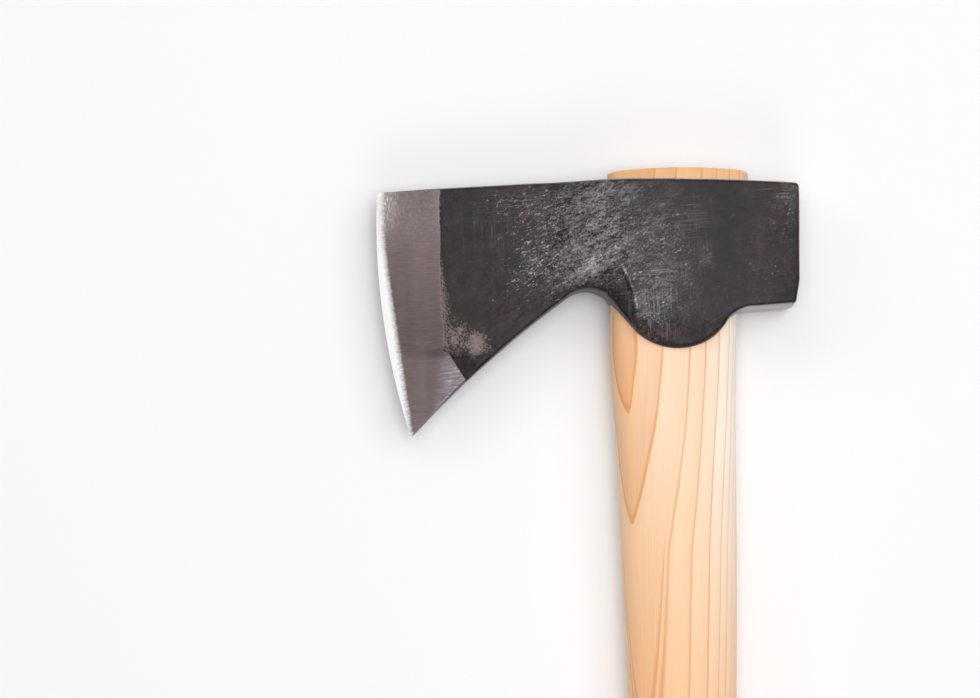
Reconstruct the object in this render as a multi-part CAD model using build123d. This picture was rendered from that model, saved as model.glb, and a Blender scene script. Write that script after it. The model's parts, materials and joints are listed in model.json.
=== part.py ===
from build123d import *
import math
import os

os.makedirs("parts", exist_ok=True)

# Carving hatchet, lying on its left cheek. Sizes are in millimetres.
# Origin: on the resting plane, straight below the middle of the eye.
# +X runs from the cutting edge to the poll, +Y along the handle to the top of the head, +Z up.
# The model is drawn about the mid-plane of the head and lifted onto the resting plane at the end.

# Head, seen from the side
edge_reach = 96.0          # eye centre to the foremost point of the cutting edge
edge_radius = 225.0        # curve of the cutting edge
edge_apex = 8.5            # height of the foremost point above the eye centre
toe_height = 16.6          # top corner of the cutting edge
toe_radius = 1.8
heel_drop = 62.1           # lower tip of the cutting edge, below the eye centre
beard_bow = 1.6            # hollow of the beard between heel and throat
throat_front = (-36.0, -17.9)
throat_crown = (-28.3, -14.8)
throat_back = (-22.6, -16.7)
lug_radius = 18.2
lug_drop = 33.95           # lowest point of the lug, below the eye centre
lug_back_angle = -28.0     # where the round lug ends, in degrees from +X
neck_back = (24.5, -20.8)  # where the lug's hollow meets the underside of the poll
neck_bow = 1.3
poll_reach = 38.6          # eye centre to the striking face
poll_base = -19.8
poll_bend = -12.0          # the striking face leans forward below this height
poll_lean = 1.2
poll_top = 18.5
poll_radius = 1.2
head_crown = 19.7          # height of the head over the eye
crown_front = (-50.0, 18.9)

# Head, seen from above and from the front
cheek_thickness = 28.0
bevel_width = 20.5
bevel_thickness = 8.4      # blade thickness where the bevel starts
micro_width = 3.3          # honed band along the cutting edge
micro_thickness = 1.9
edge_thickness = 0.2
flare_front = -42.0        # the blade starts to swell towards the cheeks here
flare_front_thickness = 12.2
flare_mid = -21.5
flare_mid_thickness = 21.5
cheek_front = -15.5        # the flat cheeks run from here
cheek_back = 27.0          # to here
poll_thickness = 25.4
lug_taper_start = -22.0    # the lugs thin out towards their tip below this height
lug_tip_thickness = 25.0
edge_break = 0.5           # broken corners of the head

# Eye and the top of the handle
stub_height = 4.3          # tenon left standing above the head
eye_top_front = -21.8
eye_top_back = 23.2
eye_top_width = 18.6
eye_mid_height = -6.0
eye_mid_front = -20.6
eye_mid_back = 20.6
eye_mid_width = 17.4
neck_height = -36.0
neck_front = -21.2
neck_rear = 19.2
neck_width = 20.4

# Handle below the head
handle_length = 355.0      # top of the stub to the end of the knob
shoulder_height = -66.0
shoulder_front = -19.2
shoulder_rear = 19.0
shoulder_width = 21.2
shaft_height = -108.0
shaft_front = -17.2
shaft_rear = 19.1
shaft_width = 21.8
waist_height = -152.0
waist_front = -15.2
waist_rear = 18.7
waist_width = 22.4
grip_height = -200.0
grip_front = -13.6
grip_rear = 18.0
grip_width = 23.0
hand_height = -248.0
hand_front = -13.6
hand_rear = 17.6
hand_width = 23.4
knob_rise = 14.5           # widest part of the knob, above the end of the handle
knob_neck_rise = 46.0
knob_neck_front = -15.8
knob_neck_rear = 18.8
knob_neck_width = 24.6
knob_front = -20.4
knob_rear = 21.6
knob_shy = 0.3             # the knob is this much thinner than the cheeks
knob_end_inset = 2.6       # how far the end face lies inside the knob's outline
eye_end_share = 0.6        # radius of the eye's ends, as a share of its half width
grip_end_share = 0.78      # the same for the handle's oval

# Wedge and spike
wedge_thickness = 5.0
wedge_tip_thickness = 1.0
wedge_length = 36.0
kerf_width = 1.0
kerf_depth = 5.0           # saw cut left open below the tip of the wedge
spike_legs = 3
spike_reach = 8.0
spike_thickness = 1.8
spike_length = 18.0
spike_tip_reach = 2.0

stub_top = head_crown + stub_height
handle_end = stub_top - handle_length
cut_margin = 2.0           # how far cutting shapes run past what they cut


def bowed_arc(start, end, bow):
    """Arc from start to end whose middle stands off the chord by bow, to the left when positive."""
    run = Vector(*end) - Vector(*start)
    side = Vector(-run.Y, run.X).normalized()
    middle = (Vector(*start) + Vector(*end)) * 0.5 + side * bow
    return ThreePointArc(Vector(*start), middle, Vector(*end))


def edge_x(height):
    """X of the cutting edge at a height."""
    centre = edge_radius - edge_reach
    return centre - math.sqrt(edge_radius**2 - (height - edge_apex) ** 2)


def lug_point(degrees):
    """Point on the round of the lug."""
    angle = math.radians(degrees)
    centre_y = lug_radius - lug_drop
    return (lug_radius * math.cos(angle), centre_y + lug_radius * math.sin(angle))


def lug_front_angle():
    """Angle on the lug's round where the straight run from the throat touches it."""
    away_x = throat_back[0]
    away_y = throat_back[1] - (lug_radius - lug_drop)
    distance = math.hypot(away_x, away_y)
    direction = math.degrees(math.atan2(away_y, away_x)) % 360
    return direction + math.degrees(math.acos(lug_radius / distance))


def side_outline():
    """Outline of the head from the side."""
    toe = (edge_x(toe_height), toe_height)
    heel = (edge_x(-heel_drop), -heel_drop)
    edge_middle = (toe_height - heel_drop) / 2
    lug_front = lug_point(lug_front_angle())
    lug_back = lug_point(lug_back_angle)
    poll_foot = (poll_reach - poll_lean, poll_base)
    poll_knee = (poll_reach, poll_bend)
    poll_head = (poll_reach, poll_top)
    runs = [
        ThreePointArc(toe, (edge_x(edge_middle), edge_middle), heel),
        bowed_arc(heel, throat_front, beard_bow),
        ThreePointArc(throat_front, throat_crown, throat_back),
        Line(throat_back, lug_front),
        ThreePointArc(lug_front, (0, -lug_drop), lug_back),
        bowed_arc(lug_back, neck_back, neck_bow),
        Line(neck_back, poll_foot),
        Line(poll_foot, poll_knee),
        Line(poll_knee, poll_head),
        ThreePointArc(poll_head, (0, head_crown), crown_front),
        Line(crown_front, toe),
    ]
    outline = make_face(runs)
    corners = outline.vertices()
    poll_corners = corners.sort_by_distance(poll_head)[:1] + corners.sort_by_distance(poll_foot)[:1]
    outline = fillet(poll_corners, poll_radius)
    return fillet(outline.vertices().sort_by_distance(toe)[:1], toe_radius)


def plan_outline():
    """Outline of the head from above, its X by its thickness."""
    front = -edge_reach - cut_margin
    taper = (flare_front_thickness - bevel_thickness) / (flare_front + edge_reach - bevel_width)
    front_half = (flare_front_thickness + taper * (front - flare_front)) / 2
    half = [
        Line((front, front_half), (flare_front, flare_front_thickness / 2)),
        bowed_arc((flare_front, flare_front_thickness / 2), (flare_mid, flare_mid_thickness / 2), -0.7),
        bowed_arc((flare_mid, flare_mid_thickness / 2), (cheek_front, cheek_thickness / 2), 0.35),
        Line((cheek_front, cheek_thickness / 2), (cheek_back, cheek_thickness / 2)),
        Line((cheek_back, cheek_thickness / 2), (poll_reach, poll_thickness / 2)),
    ]
    mirrored = [mirror(run, about=Plane.XZ) for run in half]
    ends = [
        Line((poll_reach, poll_thickness / 2), (poll_reach, -poll_thickness / 2)),
        Line((front, -front_half), (front, front_half)),
    ]
    return make_face(half + mirrored + ends)


def front_outline():
    """Outline of the head from the front, its height by its thickness: the lugs thin out."""
    half_cheek = cheek_thickness / 2
    half_tip = lug_tip_thickness / 2
    low = -heel_drop - cut_margin
    high = head_crown + cut_margin
    points = [
        (high, half_cheek),
        (lug_taper_start, half_cheek),
        (-lug_drop, half_tip),
        (low, half_tip),
        (low, -half_tip),
        (-lug_drop, -half_tip),
        (lug_taper_start, -half_cheek),
        (high, -half_cheek),
    ]
    return make_face(Polyline(*points, close=True))


def bevel_disc():
    """Lens whose rim is the cutting edge: both bevels and the honed band, swept about its centre."""
    shoulder = (edge_radius - bevel_width, bevel_thickness / 2)
    micro = (edge_radius - micro_width, micro_thickness / 2)
    slope = (shoulder[1] - micro[1]) / (micro[0] - shoulder[0])
    top = cheek_thickness / 2 + cut_margin
    inner = shoulder[0] - (top - shoulder[1]) / slope
    rim = edge_thickness / 2
    points = [(0, top), (inner, top), micro, (edge_radius, rim), (edge_radius, -rim)]
    points += [(micro[0], -micro[1]), (inner, -top), (0, -top)]
    section = Plane.XZ * make_face(Polyline(*points, close=True))
    return Pos(edge_radius - edge_reach, edge_apex, 0) * revolve(section, Axis.Z)


def oval(height, front, rear, width, end_share=grip_end_share):
    """Oval section of the handle: two flat-bowed sides and two round ends, across the handle."""
    half_width = width / 2
    half_depth = (rear - front) / 2
    end_radius = half_width * end_share
    reach = half_depth - end_radius
    drop = half_width - end_radius
    centre = (reach**2 - drop**2) / (2 * drop)
    side_radius = centre + half_width
    scale = side_radius / math.hypot(reach, centre)
    touch_x = reach * scale
    touch_y = centre * scale - centre
    corners = [(-touch_x, touch_y), (touch_x, touch_y), (touch_x, -touch_y), (-touch_x, -touch_y)]
    crowns = [(0, half_width), (half_depth, 0), (0, -half_width), (-half_depth, 0)]
    arcs = [ThreePointArc(corners[i], crowns[i], corners[(i + 1) % 4]) for i in range(4)]
    place = Plane(origin=((front + rear) / 2, height, 0), x_dir=(1, 0, 0), z_dir=(0, 1, 0))
    return place * make_face(arcs)


def handle_blank():
    """Whole handle before the kerf is cut, from the top of the stub to the end of the knob."""
    knob_height = handle_end + knob_rise
    knob_width = cheek_thickness - knob_shy
    end_width = knob_width - 2 * knob_end_inset
    sections = [
        oval(stub_top, eye_top_front, eye_top_back, eye_top_width, eye_end_share),
        oval(head_crown, eye_top_front, eye_top_back, eye_top_width, eye_end_share),
        oval(eye_mid_height, eye_mid_front, eye_mid_back, eye_mid_width, eye_end_share),
        oval(neck_height, neck_front, neck_rear, neck_width),
        oval(shoulder_height, shoulder_front, shoulder_rear, shoulder_width),
        oval(shaft_height, shaft_front, shaft_rear, shaft_width),
        oval(waist_height, waist_front, waist_rear, waist_width),
        oval(grip_height, grip_front, grip_rear, grip_width),
        oval(hand_height, hand_front, hand_rear, hand_width),
        oval(handle_end + knob_neck_rise, knob_neck_front, knob_neck_rear, knob_neck_width),
        oval(knob_height, knob_front, knob_rear, knob_width),
        oval(handle_end, knob_front + knob_end_inset, knob_rear - knob_end_inset, end_width),
    ]
    return loft(sections)


def wedge_prism():
    """Long wedge shape that opens the tenon, running past both ends of the eye."""
    half_top = wedge_thickness / 2
    half_tip = wedge_tip_thickness / 2
    taper = (half_top - half_tip) / wedge_length
    over = stub_top + cut_margin
    points = [
        (over, half_top + taper * cut_margin),
        (stub_top - wedge_length, half_tip),
        (stub_top - wedge_length, -half_tip),
        (over, -half_top - taper * cut_margin),
    ]
    run = max(-eye_top_front, eye_top_back) + cut_margin
    return extrude(Plane.YZ * make_face(Polyline(*points, close=True)), run, both=True)


def kerf():
    """Saw cut that is left open below the tip of the wedge."""
    run = max(-eye_top_front, eye_top_back) + cut_margin
    middle = stub_top - wedge_length - kerf_depth / 2
    return Pos(0, middle, 0) * Box(2 * run, kerf_depth, kerf_width)


def spike():
    """Steel spike with flat pointed legs about a common middle."""
    points = [(0, 0), (spike_reach, 0), (spike_tip_reach, -spike_length), (0, -spike_length)]
    leg = extrude(make_face(Polyline(*points, close=True)), spike_thickness / 2, both=True)
    legs = [Rot(0, 360 * turn / spike_legs, 0) * leg for turn in range(spike_legs)]
    return Pos(0, stub_top, 0) * (legs[0] + legs[1:])


def head(blank):
    """Forged head: side, plan and front shapes in common, ground to an edge, with the eye open."""
    tall = cheek_thickness / 2 + cut_margin
    deep = heel_drop + head_crown + 2 * cut_margin
    wide = edge_reach + cut_margin
    body = extrude(side_outline(), tall, both=True)
    body &= extrude(Plane.XZ * plan_outline(), deep, both=True)
    body &= extrude(Plane.YZ * front_outline(), wide, both=True)
    body &= bevel_disc()
    poll_rim = body.edges().filter_by(lambda edge: edge.center().X > poll_reach - poll_lean)
    body = chamfer(poll_rim, edge_break)
    return body - blank


def lift(piece):
    """Piece raised from the head's mid-plane onto the resting plane."""
    return Pos(0, 0, cheek_thickness / 2) * piece


blank = handle_blank()
steel_spike = spike()
wooden_wedge = (wedge_prism() & blank) - steel_spike
handle = blank - wedge_prism() - kerf() - steel_spike
axe_head = head(blank)

for name, piece in {
    "axe_head": axe_head,
    "handle": handle,
    "wooden_wedge": wooden_wedge,
    "steel_spike": steel_spike,
}.items():
    export_step(lift(piece), f"parts/{name}.step")
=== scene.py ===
"""Looks of a carving hatchet that lies on one cheek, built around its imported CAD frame.

Sizes are in millimetres in the hatchet's own frame: the origin lies on the resting plane below the
middle of the eye, +X runs towards the poll, +Y along the handle to the top of the head, +Z up.
"""

import json
import logging
import math
from dataclasses import dataclass, field, fields
from enum import Enum
from operator import attrgetter
from typing import Callable, Optional

import bmesh
import bpy
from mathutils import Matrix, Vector, kdtree, noise

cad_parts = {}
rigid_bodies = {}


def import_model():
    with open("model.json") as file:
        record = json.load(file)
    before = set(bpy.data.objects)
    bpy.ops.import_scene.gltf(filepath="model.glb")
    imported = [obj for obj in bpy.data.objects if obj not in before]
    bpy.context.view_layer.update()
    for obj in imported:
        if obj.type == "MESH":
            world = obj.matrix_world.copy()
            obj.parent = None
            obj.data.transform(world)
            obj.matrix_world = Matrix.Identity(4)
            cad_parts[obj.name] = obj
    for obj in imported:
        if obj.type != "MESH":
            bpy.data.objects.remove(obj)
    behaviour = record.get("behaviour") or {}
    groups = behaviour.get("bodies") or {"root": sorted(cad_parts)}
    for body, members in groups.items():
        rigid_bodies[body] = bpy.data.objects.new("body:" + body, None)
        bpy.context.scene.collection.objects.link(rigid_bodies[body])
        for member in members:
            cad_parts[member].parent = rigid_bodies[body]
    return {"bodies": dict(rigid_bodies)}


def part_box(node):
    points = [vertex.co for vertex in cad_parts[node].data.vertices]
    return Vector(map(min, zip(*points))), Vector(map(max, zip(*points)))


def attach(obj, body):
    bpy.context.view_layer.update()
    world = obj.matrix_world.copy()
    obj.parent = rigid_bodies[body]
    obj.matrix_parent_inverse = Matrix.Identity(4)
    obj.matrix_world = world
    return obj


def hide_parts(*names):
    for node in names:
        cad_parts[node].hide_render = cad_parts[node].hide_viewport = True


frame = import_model()

MM = 0.001
BODY = next(iter(frame["bodies"]))
LOG = logging.getLogger("carving_hatchet")

Point = tuple[float, float]
Colour = tuple[float, float, float]
Socket = bpy.types.NodeSocket


def clamp(value: float, low: float = 0.0, high: float = 1.0) -> float:
    """Value held between low and high."""
    return max(low, min(high, value))


def smoothstep(low: float, high: float, value: float) -> float:
    """Smooth rise from 0 at low to 1 at high; low may be the larger one."""
    share = clamp((value - low) / (high - low))
    return share * share * (3.0 - 2.0 * share)


def lerp(start: float, end: float, share: float) -> float:
    """Value that lies share of the way from start to end."""
    return start + (end - start) * share


def fractal(x: float, y: float, z: float, octaves: int = 3) -> float:
    """Fractal noise of about -1 to 1 at a point given in noise cells."""
    return noise.fractal(Vector((x, y, z)), 0.9, 2.1, octaves)


@dataclass(frozen=True)
class Arc:
    """Circle arc through three points, read as a height over X."""

    start: Point
    middle: Point
    end: Point

    def centre(self) -> tuple[float, float, float]:
        """Centre and radius of the circle.

        Returns:
            Centre X, centre Y and radius.
        """
        (ax, ay), (bx, by), (cx, cy) = self.start, self.middle, self.end
        twist = 2.0 * (ax * (by - cy) + bx * (cy - ay) + cx * (ay - by))
        a_square, b_square, c_square = ax * ax + ay * ay, bx * bx + by * by, cx * cx + cy * cy
        x = (a_square * (by - cy) + b_square * (cy - ay) + c_square * (ay - by)) / twist
        y = (a_square * (cx - bx) + b_square * (ax - cx) + c_square * (bx - ax)) / twist
        return x, y, math.hypot(ax - x, ay - y)

    def height(self, x: float) -> float:
        """Y of the arc at an X, on the side of the circle where its middle lies."""
        centre_x, centre_y, radius = self.centre()
        rise = math.sqrt(max(0.0, radius * radius - (x - centre_x) ** 2))
        return centre_y + math.copysign(rise, self.middle[1] - centre_y)


@dataclass(frozen=True)
class HeadOutline:
    """Side view of the head."""

    reach: float = 96.0
    edge_radius: float = 225.0
    edge_apex: float = 8.5
    toe: float = 16.6
    heel: float = -62.1
    beard_middle: Point = (-61.4, -38.8)
    throat_front: Point = (-36.0, -17.9)
    throat_crown: Point = (-28.3, -14.8)
    throat_back: Point = (-22.6, -16.7)
    lug_radius: float = 18.2
    lug_tip: float = -33.95
    lug_front_angle: float = 218.8
    lug_back_angle: float = -28.0
    neck_middle: Point = (19.6, -21.9)
    neck_back: Point = (24.5, -20.8)
    poll_foot: Point = (37.4, -19.8)
    poll: float = 38.6
    poll_knee: float = -12.0
    poll_top: float = 18.5
    crown: float = 19.7
    crown_front: Point = (-50.0, 18.9)
    toe_radius: float = 1.8
    poll_radius: float = 1.4
    foot_radius: float = 0.9

    def centre_x(self) -> float:
        """X of the centre of the cutting edge's arc."""
        return self.edge_radius - self.reach

    def edge_x(self, y: float, inset: float = 0.0) -> float:
        """X of the line that runs inset behind the cutting edge, at a height."""
        radius = self.edge_radius - inset
        return self.centre_x() - math.sqrt(radius * radius - (y - self.edge_apex) ** 2)

    def behind_edge(self, x: float, y: float) -> float:
        """Distance of a point behind the cutting edge."""
        return self.edge_radius - math.hypot(x - self.centre_x(), y - self.edge_apex)

    def lug_point(self, degrees: float) -> Point:
        """Point on the round of the lug."""
        angle = math.radians(degrees)
        middle = self.lug_tip + self.lug_radius
        return self.lug_radius * math.cos(angle), middle + self.lug_radius * math.sin(angle)

    def top(self, x: float) -> float:
        """Height of the head's top line at an X."""
        toe_x = self.edge_x(self.toe)
        if x < self.crown_front[0]:
            share = (x - toe_x) / (self.crown_front[0] - toe_x)
            line = lerp(self.toe, self.crown_front[1], share)
        else:
            line = Arc(self.crown_front, (0.0, self.crown), (self.poll, self.poll_top)).height(x)
        at_toe = self.round_off(x - toe_x, self.toe_radius)
        return line + min(at_toe, self.round_off(self.poll - x, self.poll_radius))

    def bottom(self, x: float) -> float:
        """Height of the head's lower line at an X: beard, throat, lug, neck and poll."""
        heel_x = self.edge_x(self.heel)
        lug_front = self.lug_point(self.lug_front_angle)
        lug_back = self.lug_point(self.lug_back_angle)
        if x < self.throat_front[0]:
            return Arc((heel_x, self.heel), self.beard_middle, self.throat_front).height(x)
        if x < self.throat_back[0]:
            return Arc(self.throat_front, self.throat_crown, self.throat_back).height(x)
        if x < lug_front[0]:
            share = (x - self.throat_back[0]) / (lug_front[0] - self.throat_back[0])
            return lerp(self.throat_back[1], lug_front[1], share)
        if x < lug_back[0]:
            return Arc(lug_front, (0.0, self.lug_tip), lug_back).height(x)
        if x < self.neck_back[0]:
            return Arc(lug_back, self.neck_middle, self.neck_back).height(x)
        share = (x - self.neck_back[0]) / (self.poll_foot[0] - self.neck_back[0])
        corner = self.round_off(self.poll_foot[0] - x, self.foot_radius)
        return lerp(self.neck_back[1], self.poll_foot[1], share) - corner

    def poll_x(self, y: float) -> float:
        """X of the striking face at a height."""
        lean = clamp((self.poll_knee - y) / (self.poll_knee - self.poll_foot[1]))
        return self.poll - lean * (self.poll - self.poll_foot[0])

    @staticmethod
    def round_off(run: float, radius: float) -> float:
        """Drop of a rounded corner at a distance from the corner; 0 past the radius."""
        if run >= radius:
            return 0.0
        gap = radius - max(run, 0.0)
        return math.sqrt(radius * radius - gap * gap) - radius


@dataclass(frozen=True)
class Rub:
    """Soft oval patch of the forged surface, rubbed by an amount that fades away from its middle."""

    x: float
    y: float
    long: float
    short: float
    turn: float
    amount: float

    def at(self, x: float, y: float) -> float:
        """Amount at a point."""
        angle = math.radians(self.turn)
        along = (x - self.x) * math.cos(angle) + (y - self.y) * math.sin(angle)
        across = (y - self.y) * math.cos(angle) - (x - self.x) * math.sin(angle)
        return self.amount * math.exp(-0.5 * ((along / self.long) ** 2 + (across / self.short) ** 2))


# Lighter patches of the forge scale from wear; along the flare ahead of the eye they are also painted light.
RUBBED_AND_LIT = tuple(
    Rub(*row)
    for row in (
        (-25.0, 6.0, 10.0, 16.0, 0.0, 0.41), (-28.0, -5.0, 9.0, 5.0, 28.0, 0.10),
        (14.0, 5.0, 7.0, 14.0, 0.0, -0.10), (-36.0, 2.0, 11.0, 15.0, 0.0, 0.05),
        (-24.0, 15.0, 8.0, 5.0, 0.0, 0.13), (-26.0, -7.3, 7.0, 2.6, 28.0, 0.32),
        (-45.0, -6.0, 9.0, 7.0, 30.0, 0.13), (-2.0, -3.0, 6.5, 14.0, 0.0, 0.23),
        (-6.0, -22.0, 7.0, 7.0, 0.0, 0.17), (-11.0, -21.0, 3.5, 6.0, -15.0, 0.15),
        (10.0, -26.0, 3.0, 2.0, -30.0, 0.15), (9.8, -4.7, 1.5, 2.3, 15.0, 0.30),
        (35.5, 13.0, 3.0, 4.0, 0.0, 0.20), (27.0, 0.0, 8.0, 13.0, 0.0, 0.09),
        (-50.0, 14.0, 8.0, 4.0, 0.0, 0.07),
    )
)
FLECKED = tuple(
    Rub(*row)
    for row in (
        (-42.0, -8.0, 6.5, 7.5, 0.0, 0.62), (-51.0, -11.0, 4.5, 8.0, 0.0, 0.5),
        (-30.0, -7.0, 8.0, 6.0, 20.0, 0.75), (-24.0, 8.0, 12.0, 14.0, 0.0, 0.62),
        (-38.0, 8.0, 10.0, 8.0, 0.0, 0.42), (-54.0, 12.0, 10.0, 7.0, 0.0, 0.56),
        (-2.0, -4.0, 12.0, 16.0, 0.0, 0.5), (-10.0, -20.0, 7.0, 8.0, 0.0, 0.45),
        (35.0, 10.0, 4.0, 10.0, 0.0, 0.6), (28.0, -12.0, 7.0, 8.0, 0.0, 0.4),
        (-93.0, 13.0, 2.2, 5.2, 0.0, 0.95),
    )
)
SCRATCHED_ALONG = tuple(
    Rub(*row)
    for row in (
        (-7.0, -10.0, 4.5, 3.2, 0.0, 0.6), (-40.0, 13.0, 13.0, 4.0, 0.0, 0.30),
        (-22.0, 2.0, 8.0, 12.0, 0.0, 0.22), (2.0, 8.0, 6.0, 5.0, 0.0, 0.22),
        (33.0, 16.0, 5.0, 3.0, 0.0, 0.4),
    )
)
SCRATCHED_UP = tuple(
    Rub(*row)
    for row in (
        (-6.5, -23.0, 4.0, 6.0, 0.0, 0.55), (4.0, -6.0, 6.0, 10.0, 0.0, 0.12),
        (-60.0, 4.0, 6.0, 6.0, 0.0, 0.12),
    )
)


def patches(rubs: tuple[Rub, ...], x: float, y: float) -> float:
    """Sum of a group of soft patches at a point, up to 1."""
    return clamp(sum(rub.at(x, y) for rub in rubs))


@dataclass(frozen=True)
class HeadRelief:
    """Thickness of the head, measured from its mid-plane, what the forge and the grinder left, and where
    highlight and shade are painted.
    """

    outline: HeadOutline
    cheek_half: float
    edge_half: float = 0.06
    honed_widest: float = 3.2
    honed_at: float = -22.0
    honed_toe: float = 2.0
    honed_settled: float = 8.0
    honed_least: float = 0.1
    micro_slope: float = 0.255
    bevel_width: float = 20.5
    bevel_narrowing: float = 0.0018
    bevel_half: float = 4.2
    heel_widening: float = 5.0
    flare_front: float = -42.0
    flare_front_half: float = 6.1
    flare_slope: float = 0.0569
    flare_end_slopes: Point = (0.35, 1.3)
    cheek_front: float = -15.5
    cheek_back: float = 27.0
    poll_start: float = 44.0
    poll_half: float = 12.7
    lug_taper: float = -22.0
    lug_tip_half: float = 12.4
    crease_front: float = -18.9
    crease_top: float = -6.0
    crease_depth: float = 1.5
    crease_lowest: float = 0.74
    crease_full: float = -16.0
    ridge_top: Point = (-18.1, -7.0)
    ridge_foot: Point = (-12.9, -22.0)
    ridge_bulge: float = 0.8
    ridge_half: float = 0.42
    ridge_shine: float = 0.66
    fleck_floor: float = 0.1
    scuff_least: float = 0.16
    dent_layers: tuple[tuple[float, ...], ...] = ((24.0, 0.16, 0.0), (8.5, 0.07, 3.0), (1.6, 0.02, 5.0))
    pit_slant: Point = (0.86, 0.5)
    pit_size: Point = (2.9, 1.15)
    pit_depth: float = 0.085
    lug_bevel_widths: Point = (4.6, 1.2)
    lug_bevel_depth: float = 0.9
    rim_radii: Point = (0.2, 0.95)
    facet_top: Point = (-73.2, -34.2)
    facet_end: Point = (-66.8, -44.4)
    scour: Point = (-63.6, -31.9)
    scour_radius: float = 5.4
    smear: Point = (-69.8, -30.6)
    smear_radii: Point = (7.0, 9.5)
    strip_width: float = 5.2

    def honed_width(self, y: float) -> float:
        """Width of the honed band at a height: widest below the middle, drawn to nothing at the heel."""
        if y > self.honed_at:
            return lerp(self.honed_widest, self.honed_toe, smoothstep(self.honed_at, self.honed_settled, y))
        share = (self.honed_at - y) / (self.honed_at - self.outline.heel)
        return self.honed_widest * max(0.0, 1.0 - share * share) + self.honed_least

    def shoulder(self, y: float) -> float:
        """Distance behind the edge at which the bevel ends, at a height."""
        below_apex = min(max(y, self.facet_top[1]) - self.outline.edge_apex, 0.0)
        heel = self.heel_widening * smoothstep(-34.0, -37.0, y)
        return self.bevel_width - self.bevel_narrowing * below_apex**2 + heel

    def ground_half(self, x: float, y: float) -> float:
        """Half thickness that the ground bevel and the honed band leave."""
        behind = self.outline.behind_edge(x, y)
        width = self.honed_width(y)
        inner = self.edge_half + self.micro_slope * width
        if behind < width:
            return lerp(self.edge_half, inner, max(behind, 0.0) / width)
        return lerp(inner, self.bevel_half, (behind - width) / (self.shoulder(y) - width))

    def forged_half(self, x: float, y: float) -> float:
        """Half thickness of the forging: blade, flare, flat cheek, lugs and poll."""
        if x < self.flare_front:
            run = self.flare_front + self.outline.reach - self.bevel_width
            taper = (self.flare_front_half - self.bevel_half) / run
            half = self.flare_front_half + taper * (x - self.flare_front)
        elif x < self.cheek_front:
            run = self.cheek_front - self.flare_front
            t = (x - self.flare_front) / run
            rise = self.cheek_half - self.flare_front_half
            start_slope = self.flare_slope * run / rise
            end_slope = lerp(*self.flare_end_slopes, smoothstep(0.0, -12.0, y))
            cubic = start_slope * (t - 2 * t * t + t**3) + end_slope * (t**3 - t * t) + 3 * t * t - 2 * t**3
            half = self.flare_front_half + rise * cubic
        else:
            half = lerp(self.cheek_half, self.poll_half, smoothstep(self.cheek_back, self.poll_start, x))
        lug = lerp(self.cheek_half, self.lug_tip_half, smoothstep(self.lug_taper, self.outline.lug_tip, y))
        return min(half, lug) - self.crease(x, y)

    def ridge_x(self, y: float) -> float:
        """X of the ridge where the flat cheek breaks off towards the throat."""
        (top_x, top_y), (foot_x, foot_y) = self.ridge_top, self.ridge_foot
        share = clamp((top_y - y) / (top_y - foot_y))
        return lerp(top_x, foot_x, share) + self.ridge_bulge * math.sin(math.pi * share)

    def crease(self, x: float, y: float) -> float:
        """Depth of the dent that the forming tool left between the flare and the lug."""
        ridge = self.ridge_x(y)
        if y > self.crease_top or not self.crease_front < x < ridge:
            return 0.0
        share = (x - self.crease_front) / (ridge - self.crease_front)
        lowest = self.crease_lowest
        profile = share / lowest if share < lowest else (1.0 - share) / (1.0 - lowest)
        return self.crease_depth * smoothstep(self.crease_top, self.crease_full, y) * profile

    def scuff(self, x: float, y: float) -> float:
        """How rough the forging is: 1 in the pitted field ahead of the eye, less elsewhere."""
        pitted = smoothstep(-66.0, -42.0, x - 0.35 * y) * smoothstep(6.0, -12.0, x)
        return lerp(self.scuff_least, 1.0, pitted)

    def dents(self, x: float, y: float, side: float) -> float:
        """Unevenness of the forged surface at a point of one cheek."""
        seed = 7.0 * side
        uneven = 0.0
        for size, depth, shift in self.dent_layers:
            uneven += depth * fractal(x / size, y / size, seed + shift, 2)
        lean, rise = self.pit_slant
        along = (x * lean + y * rise) / self.pit_size[0]
        across = (y * lean - x * rise) / self.pit_size[1]
        pits = fractal(along, across, seed + 11.0, 3)
        return uneven + self.scuff(x, y) * (self.pit_depth * pits)

    def scoured(self, x: float, y: float) -> float:
        """How much of the scale a light second pass of the grinder took off behind the bevel, 0 to 1."""
        uneven = 0.35 * fractal(x / 3.0, y / 3.0, 41.0, 2)
        patch = 0.95 + uneven - (math.hypot(x - self.scour[0], y - self.scour[1]) / self.scour_radius) ** 2
        across, up = (x - self.smear[0]) / self.smear_radii[0], (y - self.smear[1]) / self.smear_radii[1]
        smear = 0.66 + uneven - math.hypot(across, up) ** 2
        past = self.outline.behind_edge(x, y) - self.shoulder(y)
        strip = 0.85 - past / (0.01 + self.strip_width * smoothstep(2.0, -24.0, y)) if y > -36.0 else 0.0
        return clamp(max(patch, smear, strip if past > 0.0 else 0.0))

    def worn(self, x: float, y: float, rim: float) -> float:
        """How light the forge scale is from wear, from a little below 0 to about 1, together with a painted
        highlight along the ridge and painted shade along the blade's lower rim, in the crease and on the
        lug's sloping strip.
        """
        level = sum(rub.at(x, y) for rub in RUBBED_AND_LIT)
        # Painted shade: the scale is drawn darker along the rounded lower rim of the blade and throat.
        if x < self.cheek_front and y < 0.0:
            level *= lerp(0.25, 1.0, smoothstep(0.2, 3.2, rim))
        ridge = self.ridge_x(y)
        if y < -6.5:
            # Painted highlight: a bright line along the ridge where the flat cheek breaks off.
            line = math.exp(-(((x - ridge) / self.ridge_half) ** 2))
            level += self.ridge_shine * line * smoothstep(-24.5, -19.0, y) * smoothstep(-7.0, -9.0, y)
            # Painted shade in the crease between the flare and the ridge.
            if self.crease_front < x < ridge:
                crease_shade = smoothstep(ridge, lerp(ridge, self.crease_front, 0.6), x)
                level -= 0.30 * smoothstep(-6.5, -12.0, y) * crease_shade
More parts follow.
